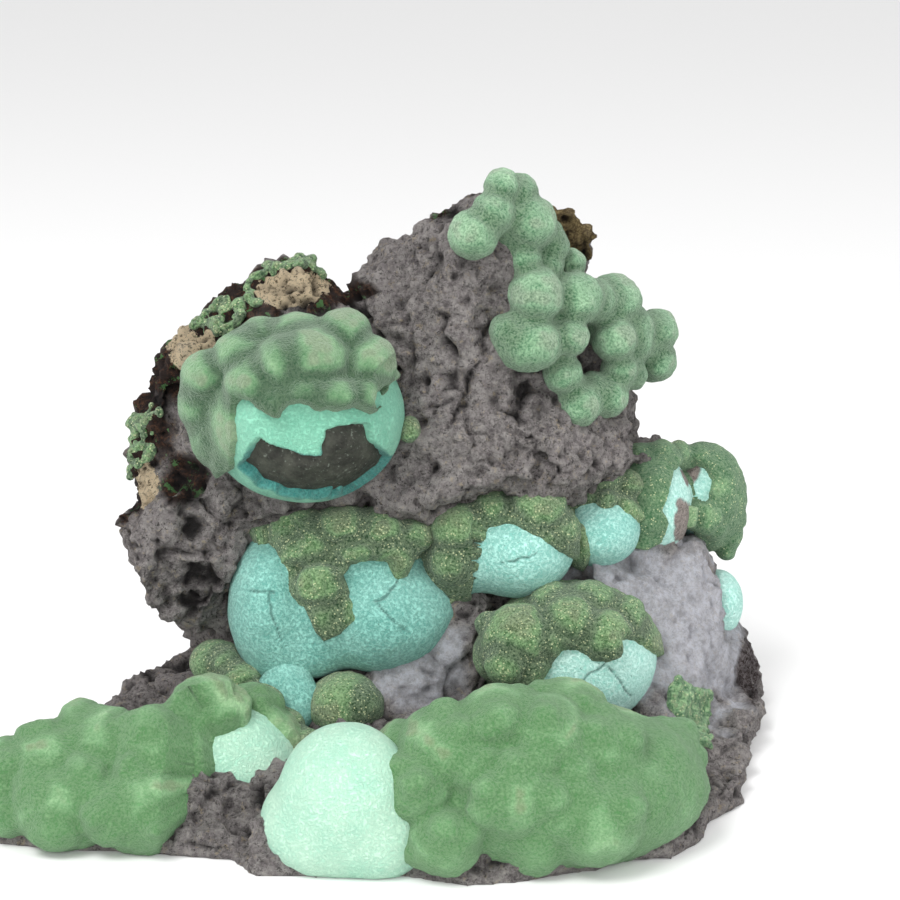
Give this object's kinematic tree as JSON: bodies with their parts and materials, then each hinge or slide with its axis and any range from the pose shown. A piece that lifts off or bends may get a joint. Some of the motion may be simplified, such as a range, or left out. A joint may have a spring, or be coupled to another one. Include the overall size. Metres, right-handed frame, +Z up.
{
  "type": "malachite specimen",
  "caption": "Craggy grey rock with round turquoise chrysocolla domes partly covered by velvety green malachite lumps, flat underneath so that it stands.",
  "frame": {"origin": "on the flat underside that the rock stands on, under the middle of the specimen", "axes": "+X to the right and along the longest side, +Y to the back, +Z up from the underside to the crest"},
  "size_m": [0.1009, 0.0778, 0.0767],
  "materials": {
    "rock": "rough, porous and matte",
    "malachite": "velvety, with fine glittering points",
    "chrysocolla": "fine-grained and matte",
    "dark_core": "broken, slightly waxy"
  },
  "bodies": {
    "root": {"matrix_rock": "rock", "crest_malachite": "malachite", "hooded_dome_core": "dark_core", "hooded_dome_chrysocolla": "chrysocolla", "hooded_dome_malachite": "malachite", "side_knob_malachite": "malachite", "heart_dome_chrysocolla": "chrysocolla", "heart_dome_malachite": "malachite", "middle_dome_chrysocolla": "chrysocolla", "middle_dome_malachite": "malachite", "shelf_dome_chrysocolla": "chrysocolla", "shelf_dome_malachite": "malachite", "rear_dome_chrysocolla": "chrysocolla", "rear_dome_malachite": "malachite", "end_dome_chrysocolla": "chrysocolla", "low_dome_chrysocolla": "chrysocolla", "low_dome_malachite": "malachite", "star_malachite": "malachite", "foot_chrysocolla": "chrysocolla", "foot_malachite_left": "malachite", "foot_malachite_right": "malachite", "front_left_dome_chrysocolla": "chrysocolla", "front_left_dome_malachite": "malachite", "front_middle_chrysocolla": "chrysocolla", "front_right_malachite": "malachite", "rim_malachite_top": "malachite", "rim_malachite_side": "malachite", "rim_malachite_foot": "malachite"}
  },
  "joints": []
}
